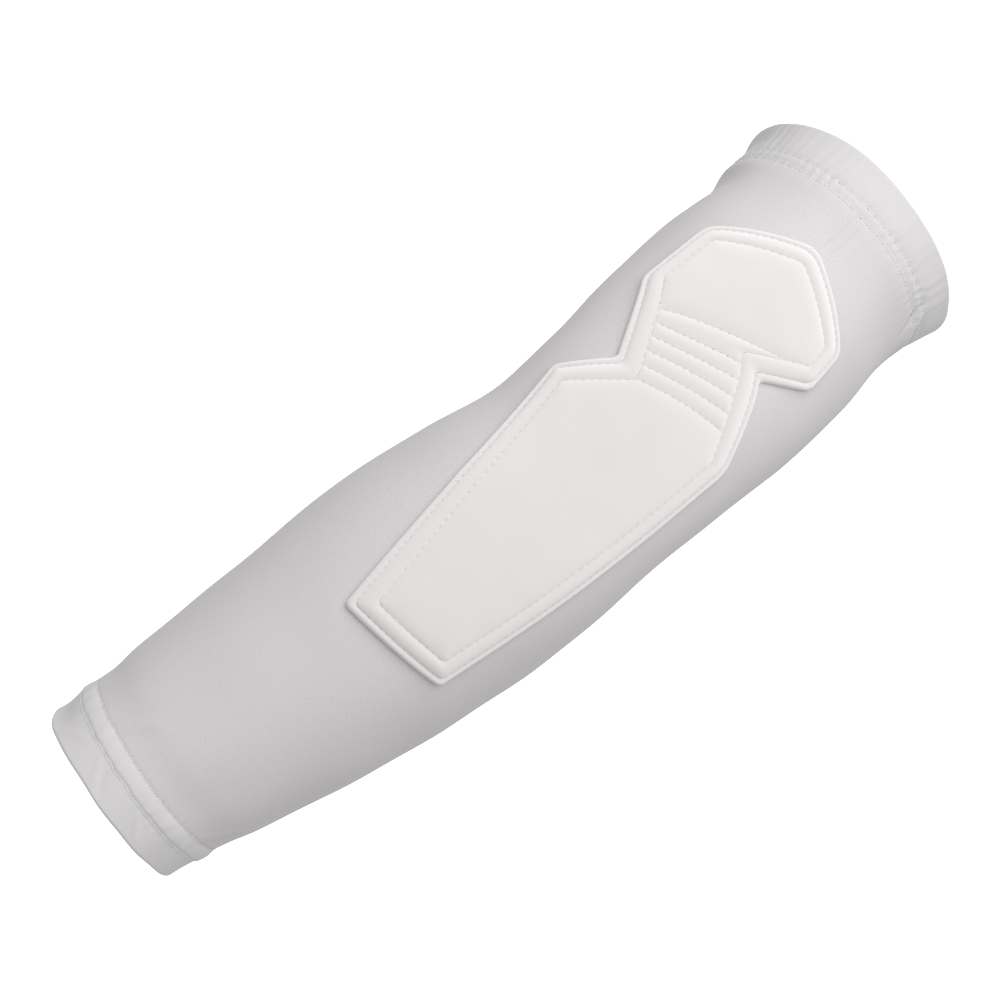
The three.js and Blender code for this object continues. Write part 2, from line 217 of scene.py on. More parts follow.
# Puckers and waves round the arm: height, fewest and most of them, seed
KNIT_PUCKERS = (0.06, 50, 85, 2)
SEAM_PUCKERS = (0.09, 55, 90, 6)
BAND_PUCKERS = (0.05, 40, 80, 3)
BAND_WAVES = (0.07, 8, 24, 4)
UPPER_EDGE_WAVES = (0.1, 2, 7, 7)
STEP_WAVES = (0.13, 5, 40, 8)
STEP_PUCKERS = (0.05, 45, 80, 10)
PUFF_WAVES = (0.07, 10, 40, 9)
WRIST_WAVES = (0.08, 4, 16, 11)
WRIST_EDGE_WAVES = (0.16, 2, 10, 12)
# How far the upper hem's puckers lean, in radians a millimetre
BAND_LEAN = 0.002
SEAM_LEAN = 0.004
# How far from the hems the knit's puckers reach, and how high those at the wrist are beside the others
UPPER_PUCKER_REACH = 4.0
WRIST_PUCKER_REACH = 3.5
WRIST_PUCKER_SHARE = 0.8
# Slow unevenness of the knit: size of its waves, and height
KNIT_WAVE = 34.0
KNIT_WAVE_HEIGHT = 0.13


def girth(along):
    """Width and sideways shift at along: a cubic through the stations, whose slope at each one is that of the
    straight line between its neighbours."""
    stations = SECTIONS[:, 0]
    values = SECTIONS[:, 1:]
    before = np.maximum(np.arange(len(stations)) - 1, 0)
    after = np.minimum(np.arange(len(stations)) + 1, len(stations) - 1)
    slopes = (values[after] - values[before]) / (stations[after] - stations[before])[:, None]
    start = np.clip(np.searchsorted(stations, along, side="right") - 1, 0, len(stations) - 2)
    span = stations[start + 1] - stations[start]
    t = ((along - stations[start]) / span)[..., None]
    span = span[..., None]
    value = ((1 + 2 * t) * (1 - t) ** 2 * values[start] + t * (1 - t) ** 2 * span * slopes[start]
             + t * t * (3 - 2 * t) * values[start + 1] + t * t * (t - 1) * span * slopes[start + 1])
    return value[..., 0], value[..., 1]


def at_angle(along, angle, lift):
    """The point at an angle round the arm: an ellipse, less deep than wide, set square to the arm's line,
    which is an arc over the elbow and straight on both sides of it."""
    along, angle, lift = np.broadcast_arrays(along, angle, lift)
    width, side = girth(along)
    on_arc = np.clip(along, -BEND_RADIUS * FOREARM_DROP, BEND_RADIUS * UPPER_ARM_DROP)
    slope = -on_arc / BEND_RADIUS
    beyond = along - on_arc
    outwards = (width / 2 * SECTION_DEPTH + lift) * np.cos(angle)
    x = -BEND_RADIUS * np.sin(slope) + beyond * np.cos(slope) - np.sin(slope) * outwards
    y = side + (width / 2 + lift) * np.sin(angle)
    z = -BEND_RADIUS * (1 - np.cos(slope)) + beyond * np.sin(slope) + np.cos(slope) * outwards
    return np.stack([x, y, z], axis=-1)


def mean_radius(along):
    """The mean of the ellipse's two half axes."""
    return girth(along)[0] * (1 + SECTION_DEPTH) / 4


def on_sleeve(along, around, lift):
    """The point at a length round the cloth: that length over the mean radius is the angle."""
    return at_angle(along, around / mean_radius(along), lift)


def ripples(angle, height, fewest, most, seed):
    """Uneven waves round the arm: a sum of cosines with whole counts between fewest and most and random
    phases, scaled to that mean height."""
    waves = 14
    random = np.random.default_rng(seed)
    counts = random.integers(fewest, most + 1, waves)
    phases = random.uniform(0, 2 * np.pi, waves)
    turns = np.asarray(angle)[..., None] * counts + phases
    return height * np.cos(turns).sum(axis=-1) / np.sqrt(waves / 2)


def unevenness(along, angle, size, seed):
    """Slow waves in the cloth: a sum of plane waves of about that size in all directions, with random phases,
    scaled to a mean height of one."""
    waves = 16
    random = np.random.default_rng(seed)
    heading = random.uniform(0, 2 * np.pi, waves)
    counts = np.round(np.cos(heading) * LENGTH_ROUND / size)
    rates = np.sin(heading) * 2 * np.pi / size
    phases = random.uniform(0, 2 * np.pi, waves)
    turns = np.asarray(angle)[..., None] * counts + np.asarray(along)[..., None] * rates + phases
    return np.cos(turns).sum(axis=-1) / np.sqrt(waves / 2)


def hump(value, middle, half):
    """A bell curve of height one."""
    return np.exp(-((value - middle) / half) ** 2)


def bulge(angle, height, side, half):
    """A bell of that height at one side of the arm."""
    return height * hump(angle, side, half)


def smooth_step(value, low, high):
    """Nought below low, one above high, and a cubic between them."""
    t = np.clip((value - low) / (high - low), 0, 1)
    return t * t * (3 - 2 * t)


def graded(start, end, count, grading):
    """Values from start to end, closer together at both ends the nearer grading is to one."""
    t = np.linspace(0, 1, count)
    return start + (end - start) * ((1 - grading) * t + grading * (0.5 - 0.5 * np.cos(np.pi * t)))


def distance_to_path(spots, path):
    """Distance from each spot to the nearest piece of a path, in the flattened cloth."""
    start = path[:-1]
    step = path[1:] - start
    away = spots[:, None, :] - start
    share = np.clip((away * step).sum(axis=2) / (step ** 2).sum(axis=1), 0, 1)
    return np.sqrt(((away - share[..., None] * step) ** 2).sum(axis=2).min(axis=1))


def inside_path(spots, path):
    """True where a line from the spot crosses the closed path an odd number of times."""
    a = path
    b = np.roll(path, -1, axis=0)
    rise = np.where(b[:, 1] == a[:, 1], 1e-9, b[:, 1] - a[:, 1])
    spans = (a[:, 1] > spots[:, 1:]) != (b[:, 1] > spots[:, 1:])
    crossing = a[:, 0] + (spots[:, 1:] - a[:, 1]) / rise * (b[:, 0] - a[:, 0])
    return (spans & (spots[:, :1] < crossing)).sum(axis=1) % 2 == 1


# The pad's lines

def pad_arcs(inset, steps=9):
    """The rounded corners of the pad's line moved inwards: both edges of a corner move, and its arc is a
    quadratic curve between the points where the rounding starts and ends. One row of points a corner."""
    corners = np.array(list(PAD_CORNERS.values()))
    spot = corners[:, :2]
    arriving = spot - np.roll(spot, 1, axis=0)
    arriving /= np.linalg.norm(arriving, axis=1, keepdims=True)
    leaving = np.roll(arriving, -1, axis=0)
    cosine = (arriving * leaving).sum(axis=1)
    turn = arriving[:, 0] * leaving[:, 1] - arriving[:, 1] * leaving[:, 0]
    both = arriving + leaving
    inwards = np.stack([-both[:, 1], both[:, 0]], axis=1)
    moved = spot + inwards * (inset / (1 + cosine))[:, None]
    radius = np.where(turn > 0, np.maximum(corners[:, 2] - max(inset, 0.0), LEAST_RADIUS), corners[:, 2])
    reach = (radius * np.abs(turn) / (1 + cosine))[:, None]
    t = np.linspace(0, 1, steps)[None, :, None]
    first = (moved - arriving * reach)[:, None, :]
    last = (moved + leaving * reach)[:, None, :]
    return (1 - t) ** 2 * first + 2 * t * (1 - t) * moved[:, None, :] + t * t * last


def pad_line(inset, spacing=0.45):
    """The pad's closed line at an inset: the rounded corners, joined by straight edges with points at about
    that spacing. Lines at different insets have the same number of points."""
    arcs = pad_arcs(inset)
    middle = pad_arcs(0.0)
    parts = []
    for corner in range(len(arcs)):
        after = (corner + 1) % len(arcs)
        length = np.linalg.norm(middle[after, 0] - middle[corner, -1])
        share = np.linspace(0, 1, int(length / spacing) + 2)[1:-1, None]
        parts.append(arcs[corner])
        parts.append(arcs[corner, -1] + (arcs[after, 0] - arcs[corner, -1]) * share)
    return np.concatenate(parts)


def closed(path):
    """The path with its first point again at its end."""
    return np.concatenate([path, path[:1]])


def lengths(points):
    """Length along a path up to each of its points."""
    steps = np.linalg.norm(np.diff(points, axis=0), axis=1)
    return np.concatenate([[0.0], np.cumsum(steps)])


def along_path(path, shares, measure=None):
    """Points at those shares of a path's length."""
    run = lengths(path if measure is None else measure)
    at = np.asarray(shares) * run[-1]
    return np.stack([np.interp(at, run, path[:, 0]), np.interp(at, run, path[:, 1])], axis=-1)


def stitch_holes(path, lift, stitch):
    """Needle holes at equal steps on the cloth, as near to that stitch length as fits the path."""
    places = on_sleeve(path[:, 0], path[:, 1], lift)
    count = max(int(round(lengths(places)[-1] / stitch)), 1)
    return along_path(path, np.linspace(0, 1, count + 1), places)


def part_of_line(line, start, end):
    """The stretch of a closed line from its point nearest to start, onwards to its point nearest to end."""
    first = np.linalg.norm(line - start, axis=1).argmin()
    last = np.linalg.norm(line - end, axis=1).argmin()
    return np.roll(line, -first, axis=0)[:(last - first) % len(line) + 1]


inner_arcs = dict(zip(PAD_CORNERS, pad_arcs(BORDER_WIDTH)))
# The middle point of a corner's arc
MIDDLE = 4


def corner_point(name):
    """The corner itself, from its quadratic arc: twice the arc's middle less the mean of its ends."""
    arc = inner_arcs[name]
    return 2 * arc[MIDDLE] - (arc[0] + arc[-1]) / 2


def towards(start, end, length):
    """The point at a length from start on the line to end."""
    step = end - start
    return start + step / np.linalg.norm(step) * length


def rib_line_ends(line):
    """Both ends of a line of stitches across the neck, counted from the forearm panel."""
    left = towards(corner_point("notch_left"), corner_point("elbow_side_left"), RIB_PITCH_LEFT * line)
    back = TOP_RIB_BACK + RIB_PITCH_RIGHT * (RIB_COUNT - 1 - line)
    right = towards(corner_point("notch_right"), corner_point("flank_right"), back)
    if line == 0:
        left = inner_arcs["notch_left"][MIDDLE]
    if line == RIB_COUNT:
        edge_start = inner_arcs["notch_right"][-1]
        edge_end = inner_arcs["elbow_low_right"][0]
        right = edge_start + (edge_end - edge_start) * LAST_LINE_MEETS
    return left, right


def rib_line_bow(line):
    """How far the middle of a stitch line bows towards the upper arm."""
    return FIRST_LINE_BOW + (LAST_LINE_BOW - FIRST_LINE_BOW) * line / RIB_COUNT


def rib_path(line, share):
    """Points on a stitch line: a straight line bowed as a parabola."""
    left, right = rib_line_ends(line)
    share = np.asarray(share)[:, None]
    bow = rib_line_bow(line) * 4 * share * (1 - share)
    return left + (right - left) * share + np.concatenate([bow, 0 * bow], axis=1)


def panel_chains(name):
    """Left and right side of a quilted cell, each from the wrist end to the elbow end."""
    arcs = inner_arcs
    if name == "forearm_panel":
        left = np.concatenate([
            arcs["wrist_left"][::-1],
            arcs["flank_left"][::-1],
            arcs["notch_left"][:MIDDLE - 1:-1],
        ])
        right = np.concatenate([arcs["wrist_right"], arcs["flank_right"], rib_line_ends(0)[1][None]])
        return left, right, 0.0, rib_line_bow(0)
    if name == "elbow_panel":
        left = np.concatenate([
            rib_line_ends(RIB_COUNT)[0][None],
            arcs["elbow_side_left"][::-1],
            arcs["elbow_top_left"][::-1],
        ])
        right = np.concatenate([
            rib_line_ends(RIB_COUNT)[1][None],
            arcs["elbow_low_right"],
            arcs["elbow_side_right"],
            arcs["elbow_top_right"],
        ])
        return left, right, rib_line_bow(RIB_COUNT), 0.0
    rib = int(name[-1])
    left = [rib_line_ends(rib - 1)[0][None], rib_line_ends(rib)[0][None]]
    right = [rib_line_ends(rib - 1)[1][None], rib_line_ends(rib)[1][None]]
    if rib == 1:
        left.insert(1, arcs["notch_left"][MIDDLE - 1::-1])
    if rib == RIB_COUNT:
        right.insert(1, arcs["notch_right"])
    return np.concatenate(left), np.concatenate(right), rib_line_bow(rib - 1), rib_line_bow(rib)


edge_line = closed(pad_line(0.0))
# The short edge between the notch and the last stitch line is a fold without stitches
last_line_end = rib_line_ends(RIB_COUNT)[1]
quilt_line = part_of_line(pad_line(BORDER_WIDTH), last_line_end, inner_arcs["notch_right"][MIDDLE])
edge_holes = stitch_holes(edge_line, EDGE_SEAM_LIFT, EDGE_STITCH)
quilt_holes = stitch_holes(quilt_line, QUILT_SEAM_LIFT, QUILT_STITCH)
rib_paths = [rib_path(line, np.linspace(0, 1, 60)) for line in range(RIB_COUNT + 1)]
rib_holes = [stitch_holes(path, QUILT_SEAM_LIFT, RIB_STITCH) for path in rib_paths]
pad_holes = np.concatenate([edge_holes, quilt_holes] + rib_holes)


def hole_distance(along, around):
    """Distance to the nearest needle hole of the pad, in the flattened cloth."""
    spots = np.stack([along.ravel(), around.ravel()], axis=1)
    squared = (spots ** 2).sum(axis=1)[:, None] + (pad_holes ** 2).sum(axis=1) - 2 * spots @ pad_holes.T
    return np.sqrt(np.maximum(squared.min(axis=1), 0)).reshape(along.shape)


def stitch_pull(distance):
    """How far a stitch pulls the padding down: a narrow bell at the needle hole in a wider shallow one."""
    return sum(depth * hump(distance, 0, half) for depth, half in STITCH_PULLS)


# Meshes

def grid_faces(rows, columns, close_rows, close_columns):
    """Corner rows and columns of every four-sided face of a grid, not yet wrapped round."""
    row = np.arange(rows if close_rows else rows - 1)
    column = np.arange(columns if close_columns else columns - 1)
    row, column = [part.ravel() for part in np.meshgrid(row, column, indexing="ij")]
    face_rows = np.stack([row, row + 1, row + 1, row], axis=1)
    face_columns = np.stack([column, column, column + 1, column + 1], axis=1)
    return face_rows, face_columns


def mesh_piece(name, points, faces, spread, material, holes=None):
    """A mesh object from points in millimetres, faces as rows of point numbers, the cloth's own coordinates
    at each face corner, and how near each point is to a needle hole."""
    mesh = bpy.data.meshes.new(name)
    mesh.from_pydata((points.reshape(-1, 3) * MM).tolist(), [], faces.tolist())
    layer = mesh.uv_layers.new(name="cloth")
    layer.data.foreach_set("uv", spread.reshape(-1).astype(np.float32))
    if holes is not None:
        shade = mesh.attributes.new("needle_hole", "FLOAT", "POINT")
        shade.data.foreach_set("value", holes.reshape(-1).astype(np.float32))
    mesh.shade_smooth()
    mesh.materials.append(material)
    obj = bpy.data.objects.new(name, mesh)
    bpy.context.scene.collection.objects.link(obj)
    return obj


def tube_piece(name, along, angle, lift, material):
    """A closed profile carried round the arm: rows are points of the profile, columns are angles."""
    points = at_angle(along, angle, lift)
    rows, columns = points.shape[:2]
    face_rows, face_columns = grid_faces(rows, columns, True, True)
    faces = (face_rows % rows) * columns + face_columns % columns
    wide_angle = np.concatenate([angle[0], angle[0, :1] + 2 * np.pi])
    wide_along = np.concatenate([along, along[:, :1]], axis=1)
    # The cloth's own round coordinate keeps one girth, so that the wales run straight down the arm
    spread = np.stack([np.broadcast_to(wide_angle * MEAN_RADIUS, wide_along.shape), wide_along], axis=-1)
    return mesh_piece(name, points, faces, spread[face_rows % rows, face_columns], material)


def ring_piece(name, insets, lifts, material):
    """A section carried round the pad's line: rows are points of the section, each on the line at its own
    inset, columns are points of the line."""
    lines = np.stack([pad_line(inset) for inset in insets])
    along = lines[..., 0]
    around = lines[..., 1]
    distance = hole_distance(along, around)
    lift = np.asarray(lifts)[:, None]
    points = on_sleeve(along, around, lift - np.where(lift > UPPER_FACE, stitch_pull(distance), 0))
    rows, columns = points.shape[:2]
    face_rows, face_columns = grid_faces(rows, columns, True, True)
    face_rows %= rows
    face_columns %= columns
    faces = face_rows * columns + face_columns
    spread = np.stack([around, along], axis=-1)[face_rows, face_columns]
    return mesh_piece(name, points, faces, spread, material, hump(distance, 0, HOLE_SHADE))


def eased(height, times):
    """The grid of heights with each inner point moved half way to the mean of its four neighbours, several
    times over."""
    height = height.copy()
    for turn in range(times):
        mean = (height[:-2, 1:-1] + height[2:, 1:-1] + height[1:-1, :-2] + height[1:-1, 2:]) / 4
        height[1:-1, 1:-1] += 0.5 * (mean - height[1:-1, 1:-1])
    return height


def cell_grid(cell, rows, columns):
    """A quilted cell on the flattened cloth: rows straight between equal shares of its two sides and bowed
    from one end line's bow to the other's, closer together near the seams and a hair clear of them."""
    grading = 0.55
    end_fade = 0.01
    left, right, first_bow, last_bow = panel_chains(cell)
    share = graded(0.0, 1.0, rows, grading)
    left_side = along_path(left, share)[:, None, :]
    right_side = along_path(right, share)[:, None, :]
    trim = SEAM_CLEAR / np.linalg.norm(left_side - right_side, axis=-1)
    across = trim + (1 - 2 * trim) * graded(0.0, 1.0, columns, grading)[None, :]
    spot = right_side + (left_side - right_side) * across[..., None]
    bow = (first_bow + (last_bow - first_bow) * share)[:, None] * 4 * across * (1 - across)
    t = np.linspace(0, 1, rows)
    ends = SEAM_CLEAR * (hump(t, 0, end_fade) - hump(t, 1, end_fade))[:, None]
    return spot[..., 0] + bow + ends, spot[..., 1]


def cell_edge(along, around):
    """The closed edge of a cell's grid, by every second point."""
    flat = np.stack([along, around], axis=-1)
    return closed(np.concatenate([flat[0], flat[:, -1], flat[-1, ::-1], flat[::-1, 0]])[::2])


def cushion_lift(along, around, distance, crown, shoulder, swell):
    """Lift of a cushion: it rises from the seam to the crown as foam does, by a share that dies away with the
    depth inside the seam, eased at the corners, with a slow swell towards its middle, and is pulled down at
    the needle holes."""
    easing = 24
    flat = np.stack([along.ravel(), around.ravel()], axis=1)
    depth = distance_to_path(flat, cell_edge(along, around)).reshape(along.shape)
    near = eased(1 - np.exp(-depth / shoulder), easing)
    lift = QUILT_SEAM_LIFT + (crown - QUILT_SEAM_LIFT) * near
    lift = lift + swell * (1 - np.exp(-depth / SWELL_REACH)) - stitch_pull(distance)
    return lift + CUSHION_WAVE_HEIGHT * near * unevenness(along, around / MEAN_RADIUS, CUSHION_WAVE, 5)


def quilted_piece(cell, crown, shoulder, swell, rows, columns, material):
    """A quilted cell: its grid lifted as a cushion, closed by a wall and an underside."""
    along, around = cell_grid(cell, rows, columns)
    distance = hole_distance(along, around)
    top = on_sleeve(along, around, cushion_lift(along, around, distance, crown, shoulder, swell))
    under = on_sleeve(along, around, np.full(along.shape, PAD_UNDERSIDE))
    face_rows, face_columns = grid_faces(rows, columns, False, False)
    upper = face_rows * columns + face_columns
    count = rows * columns
    number = np.arange(count).reshape(rows, columns)
    rim = np.concatenate([number[:-1, 0], number[-1, :-1], number[:0:-1, -1], number[0, :0:-1]])
    after = np.roll(rim, -1)
    wall = np.stack([rim + count, after + count, after, rim], axis=1)
    faces = np.concatenate([upper, upper[:, ::-1] + count, wall])
    spread = np.stack([around.ravel(), along.ravel()], axis=1)
    spread = np.concatenate([spread, spread])[faces]
    shade = hump(distance, 0, HOLE_SHADE).ravel()
    shade = np.concatenate([shade, 0 * shade])
    points = np.concatenate([top.reshape(-1, 3), under.reshape(-1, 3)])
    return mesh_piece(f"{cell}_cushion", points, faces, spread, material, shade)


def stitch_piece(name, rows_of_holes, material):
    """Thread: each stitch is a six-sided tube from one needle hole to the next, whose middle line dips into
    the cloth at both holes and arches between them. Each row of holes comes with the lift of its cloth."""
    samples = 7
    sides = 6
    t = np.linspace(-STITCH_OVERLAP, 1 + STITCH_OVERLAP, samples)
    starts = np.concatenate([holes[:-1] for holes, seam in rows_of_holes])
    ends = np.concatenate([holes[1:] for holes, seam in rows_of_holes])
    first_lift = np.concatenate([np.broadcast_to(seam, len(holes))[:-1] for holes, seam in rows_of_holes])
    last_lift = np.concatenate([np.broadcast_to(seam, len(holes))[1:] for holes, seam in rows_of_holes])
    spot = starts[:, None, :] + (ends - starts)[:, None, :] * t[None, :, None]
    cloth = first_lift[:, None] + (last_lift - first_lift)[:, None] * t[None, :]
    lift = cloth + THREAD_ARCH * np.sin(np.pi * t)[None, :] - THREAD_DIP
    middle = on_sleeve(spot[..., 0], spot[..., 1], lift)
    out = on_sleeve(spot[..., 0], spot[..., 1], lift + 1) - middle
    run = np.gradient(middle, axis=1)
    run /= np.linalg.norm(run, axis=2, keepdims=True)
    side = np.cross(run, out)
    side /= np.linalg.norm(side, axis=2, keepdims=True)
    up = np.cross(side, run)
    turn = np.linspace(0, 2 * np.pi, sides, endpoint=False)
    width = THREAD * (THREAD_TAPER + (1 - THREAD_TAPER) * np.sin(np.pi * t))
    radius = (width / 2)[None, :, None, None]
    around_thread = np.cos(turn)[:, None] * side[:, :, None, :] + np.sin(turn)[:, None] * up[:, :, None, :]
    points = middle[:, :, None, :] + radius * around_thread
    face_rows, face_columns = grid_faces(samples, sides, False, True)
    one = face_rows * sides + face_columns % sides
    last = (samples - 1) * sides
    caps = np.array([[0, 1, 2, 3], [0, 3, 4, 5], [last + 3, last + 2, last + 1, last],
                     [last + 5, last + 4, last + 3, last]])
    one = np.concatenate([one[:, ::-1], caps[:, ::-1]])
    faces = (one[None] + (np.arange(len(starts)) * samples * sides)[:, None, None]).reshape(-1, 4)
    spread = np.zeros((faces.size, 2))
    return mesh_piece(name, points, faces, spread, material)


# Materials

def colour(code):
    """An sRGB hex colour as the linear values that a shader takes."""
    value = np.array([int(code[i:i + 2], 16) for i in (1, 3, 5)]) / 255
    linear = np.where(value <= 0.04045, value / 12.92, ((value + 0.055) / 1.055) ** 2.4)
    return (*linear.tolist(), 1.0)


def add(tree, kind, inputs, **settings):
    """Adds a node of that kind with its settings. An input is a value, or the output that it is linked to."""
    node = tree.nodes.new(kind)
    for name, value in settings.items():
        setattr(node, name, value)
    for socket, value in inputs.items():
        if isinstance(value, bpy.types.NodeSocket):
            tree.links.new(value, node.inputs[socket])
        else:
            node.inputs[socket].default_value = value
    return node


def band_scale(pitch):
    """The wave texture's scale for bands at that pitch in millimetres: it draws 20 radians a unit."""
    return 2 * np.pi / (20 * pitch)


# The cloth round a needle hole, which lies in a little shade
NEEDLE_HOLE = "#D6D5D4"
# Width of a clump of loose fibre on the knit
FIBRE_CLUMP = 0.6
# How high the courses stand, as a share of the wales
COURSE_SHARE = 0.35
# Usual distance of the loops and of the fibre from their mean heights, each for a full height of one
LOOP_SPREAD = 0.35
FIBRE_SPREAD = 0.11


def knit_material(name, face, valley, wale, course, fuzz, depth, roughness, matt):
    """A knit cloth: wales along the arm at one pitch, courses across it at another, and a speckle of loose
    fibre as strong as fuzz, with painted shade in the valleys between them. The more matt it is, the more
    evenly it takes the light on its slopes."""
    material = bpy.data.materials.new(name)
    material.use_nodes = True
    tree = material.node_tree
    shader = tree.nodes["Principled BSDF"]
    cloth = add(tree, "ShaderNodeUVMap", {}, uv_map="cloth").outputs["UV"]
    wales = add(tree, "ShaderNodeTexWave", {"Vector": cloth, "Scale": band_scale(wale), "Distortion": 0.6,
                                            "Detail": 1.0, "Detail Scale": 0.4},
                wave_type="BANDS", bands_direction="X").outputs["Fac"]
    courses = add(tree, "ShaderNodeTexWave", {"Vector": cloth, "Scale": band_scale(course), "Distortion": 0.8,
                                              "Detail": 1.0, "Detail Scale": 0.4},
                  wave_type="BANDS", bands_direction="Y").outputs["Fac"]
    fibre = add(tree, "ShaderNodeTexNoise", {"Vector": cloth, "Scale": 1 / FIBRE_CLUMP, "Detail": 2.0})
    loops = add(tree, "ShaderNodeMath", {0: courses, 1: COURSE_SHARE, 2: wales},
                operation="MULTIPLY_ADD").outputs[0]
    height = add(tree, "ShaderNodeMath", {0: fibre.outputs["Fac"], 1: fuzz, 2: loops},
                 operation="MULTIPLY_ADD").outputs[0]
    bump = add(tree, "ShaderNodeBump", {"Height": height, "Strength": 1.0, "Distance": depth * MM})
    # The mean of the loops and the fibre together, and twice their usual distance from it
    middle = (1 + COURSE_SHARE + fuzz) / 2
    reach = 2 * np.hypot(LOOP_SPREAD, FIBRE_SPREAD * fuzz)
    # The yarn takes the valley colour where the loops and fibre lie low and the face colour where they stand
    # high: painted shade in the hollows of the knit
    tint = add(tree, "ShaderNodeMapRange", {"Value": height, "From Min": middle - reach,
                                            "From Max": middle + reach}).outputs[0]
    yarn_and_hollow_shade = add(tree, "ShaderNodeMix", {"Factor": tint, "A": colour(valley), "B": colour(face)},
               data_type="RGBA")
    hole = add(tree, "ShaderNodeAttribute", {}, attribute_name="needle_hole").outputs["Fac"]
    shown = add(tree, "ShaderNodeMix", {"Factor": hole, "A": yarn_and_hollow_shade.outputs[2], "B": colour(NEEDLE_HOLE)},
                data_type="RGBA")
    tree.links.new(shown.outputs[2], shader.inputs["Base Color"])
    tree.links.new(bump.outputs["Normal"], shader.inputs["Normal"])
    shader.inputs["Roughness"].default_value = roughness
    shader.inputs["Diffuse Roughness"].default_value = matt
    shader.inputs["Specular IOR Level"].default_value = 0.25
    shader.inputs["Sheen Weight"].default_value = 0.05
    shader.inputs["Sheen Roughness"].default_value = 0.5
    return material


# The loops of all three cloths are finer than half a millimetre, and are drawn coarser so that they show

# In each knit below, the valley colour is painted shade in the hollows between the loops
# Stretch warp knit of polyester and elastane: wales down the arm, a fibre grain and a faint satin sheen
sleeve_knit = knit_material("stretch_warp_knit", face="#CECBCC", valley="#C2BFC0", wale=0.9, course=0.8,
                            fuzz=4.8, depth=0.011, roughness=0.75, matt=0.0)
# The same knit turned in double: whiter, because less of the dark inside shows through it
hem_knit = knit_material("doubled_warp_knit", face="#CFCDCE", valley="#C7C5C6", wale=0.9, course=0.8,
                         fuzz=3.6, depth=0.012, roughness=0.75, matt=0.0)
# Close knit over the foam: smoother, whiter and a little warmer than the sleeve, and quite matt
pad_cloth = knit_material("close_knit_pad_cloth", face="#DFDEDD", valley="#DBDAD9", wale=0.8, course=0.8,
                          fuzz=0.6, depth=0.008, roughness=0.85, matt=1.0)


# The twist of the thread's plies, drawn coarser than it is so that it shows
PLY_TWIST = 0.6


def thread_material():
    """Two-ply polyester thread: white, with a soft gloss and the twist of its plies as diagonal bands."""
    material = bpy.data.materials.new("polyester_thread")
    material.use_nodes = True
    tree = material.node_tree
    shader = tree.nodes["Principled BSDF"]
    place = add(tree, "ShaderNodeTexCoord", {}).outputs["Object"]
    twist = add(tree, "ShaderNodeTexWave", {"Vector": place, "Scale": band_scale(PLY_TWIST * MM)},
                wave_type="BANDS", bands_direction="DIAGONAL").outputs["Fac"]
    ply = add(tree, "ShaderNodeMix", {"Factor": twist, "A": colour("#D8D7D6"), "B": colour("#E3E2E1")},
              data_type="RGBA")
    tree.links.new(ply.outputs[2], shader.inputs["Base Color"])
    shader.inputs["Roughness"].default_value = 0.6
    return material


thread = thread_material()

# The sleeve and its hems

COLUMNS = 384
EDGE_ROLL = 1.2
HEM_CLEAR = 0.02
EDGE_STEPS = 13
INNER_STEPS = 18


def fold_lift(along, angle):
    """Height of the folds: each is a bell across a straight line on the flattened cloth, and fades out at
    both of its ends."""
    spots = np.stack([along.ravel(), (angle * mean_radius(along)).ravel()], axis=1)
    lift = np.zeros(along.shape)
    for start_along, start_around, end_along, end_around, half, height in FOLDS:
        path = np.array([(start_along, start_around), (end_along, end_around)])
        step = path[1] - path[0]
        share = ((spots - path[0]) @ step / (step @ step)).reshape(along.shape)
        fade = smooth_step(share, -0.15, 0.35) * (1 - smooth_step(share, 0.65, 1.15))
        away = distance_to_path(spots, path).reshape(along.shape)
        lift = lift + height * fade * hump(away, 0, half)
    return lift


def swell_lift(swells, along, angle):
    """Height of swells and hollows: each is a bell along the arm times a bell round it."""
    return sum(height * hump(along, place, half_length) * hump(angle, side, half_angle)
               for place, half_length, side, half_angle, height in swells)


def body_lift(along, angle):
    """Lift of the knit: slow unevenness and the folds, which fade out beside the pad, the swells, and puckers
    that die away with the distance from each hem."""
    around = angle * mean_radius(along)
    spots = np.stack([along.ravel(), around.ravel()], axis=1)
    outline = pad_line(-WELT_WIDTH, 8.0)
    clear = distance_to_path(spots, closed(outline))
    clear = np.where(inside_path(spots, outline), 0, clear).reshape(along.shape)
    lift = KNIT_WAVE_HEIGHT * unevenness(along, angle, KNIT_WAVE, 1) + fold_lift(along, angle)
    lift = lift * smooth_step(clear, 0.3, 4.0) + swell_lift(KNIT_SWELLS, along, angle)
    beside_upper_hem = np.exp(-(UPPER_SEAM - along) / UPPER_PUCKER_REACH)
    beside_wrist_hem = WRIST_PUCKER_SHARE * np.exp(-(along - WRIST_SEAM) / WRIST_PUCKER_REACH)
    return lift + ripples(angle, *KNIT_PUCKERS) * (beside_upper_hem + beside_wrist_hem)


def upper_hem_shape(along, angle):
    """Lift of the upper hem: folds and swells, fine puckers between its two rows of stitches, then a plain
    band with puckers square to its edge, which is flared on one side."""
    lift = swell_lift(UPPER_HEM_SWELLS, along, angle) + fold_lift(along, angle)
    band = smooth_step(along, UPPER_SECOND_ROW, UPPER_SECOND_ROW + 3.0)
    calm = 1 - 0.6 * smooth_step(along, UPPER_EDGE - 5.0, UPPER_EDGE)
    band_puckers = ripples(angle + along * BAND_LEAN, *BAND_PUCKERS) + ripples(angle, *BAND_WAVES)
    seam_puckers = ripples(angle + along * SEAM_LEAN, *SEAM_PUCKERS)
    flare = bulge(angle, *UPPER_FLARE) * smooth_step(along, UPPER_SECOND_ROW + 2.0, UPPER_EDGE)
    return lift + band * calm * band_puckers + (1 - band) * seam_puckers + flare


def wrist_step(angle):
    """Where the wrist hem steps inwards: a wavy stitched line."""
    return WRIST_STEP + ripples(angle, *STEP_WAVES)


